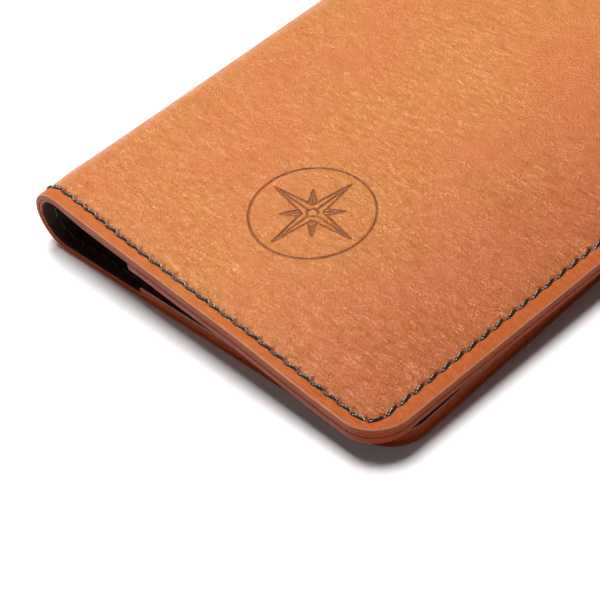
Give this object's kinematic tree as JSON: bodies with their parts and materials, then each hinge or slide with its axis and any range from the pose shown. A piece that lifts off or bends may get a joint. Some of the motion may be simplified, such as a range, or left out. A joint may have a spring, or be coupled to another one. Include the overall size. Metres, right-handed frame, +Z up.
{
  "type": "travel document organizer",
  "caption": "Closed bifold leather organizer for travel papers, with a rolled spine, stitched edges, a pressed compass emblem, inner sleeves and card slots",
  "frame": {"origin": "middle of the back cover's outer face, which lies on the table", "axes": "+X from the rolled spine to the fore-edge, +Y along the back cover's fore-edge towards the top, +Z up from the table through the closed covers"},
  "size_m": [0.1109, 0.1492, 0.0164],
  "materials": {
    "outer_leather": "smooth tan full-grain leather, satin",
    "lining_leather": "smooth brown lining leather, matte",
    "pocket_leather": "smooth tan pocket leather, satin",
    "thread": "waxed black thread",
    "board": "grey-brown bonded fibre board"
  },
  "bodies": {
    "back_cover": {"back_outer": "outer_leather", "back_stiffener": "board", "back_lining": "lining_leather", "back_stitches": "thread", "back_inner_stitches": "thread", "passport_sleeve": "pocket_leather", "card_slot_rear": "pocket_leather", "card_slot_middle": "pocket_leather", "card_slot_front": "pocket_leather", "card_slot_stitches": "thread"},
    "spine": {"spine_outer": "outer_leather", "spine_lining": "lining_leather", "spine_stitches": "thread"},
    "front_cover": {"front_outer": "outer_leather", "front_stiffener": "board", "front_lining": "lining_leather", "front_stitches": "thread", "front_inner_stitches": "thread", "document_sleeve": "pocket_leather", "ticket_pocket": "pocket_leather", "ticket_pocket_stitches": "thread"}
  },
  "joints": [
    {"name": "spine_fold", "type": "hinge", "parent": "back_cover", "child": "spine", "pos_m": [-0.04857, -0.00007, 0.00262], "axis": [-0.0209, -0.9998, 0], "range_deg": [0, 92.17]},
    {"name": "cover_fold", "type": "hinge", "parent": "spine", "child": "front_cover", "pos_m": [-0.04813, -0.00008, 0.0142], "axis": [-0.0209, -0.9998, 0], "range_deg": [0, 92.17]}
  ],
  "couplings": [
    {"joint": "cover_fold", "follows": "spine_fold", "ratio": 1}
  ]
}
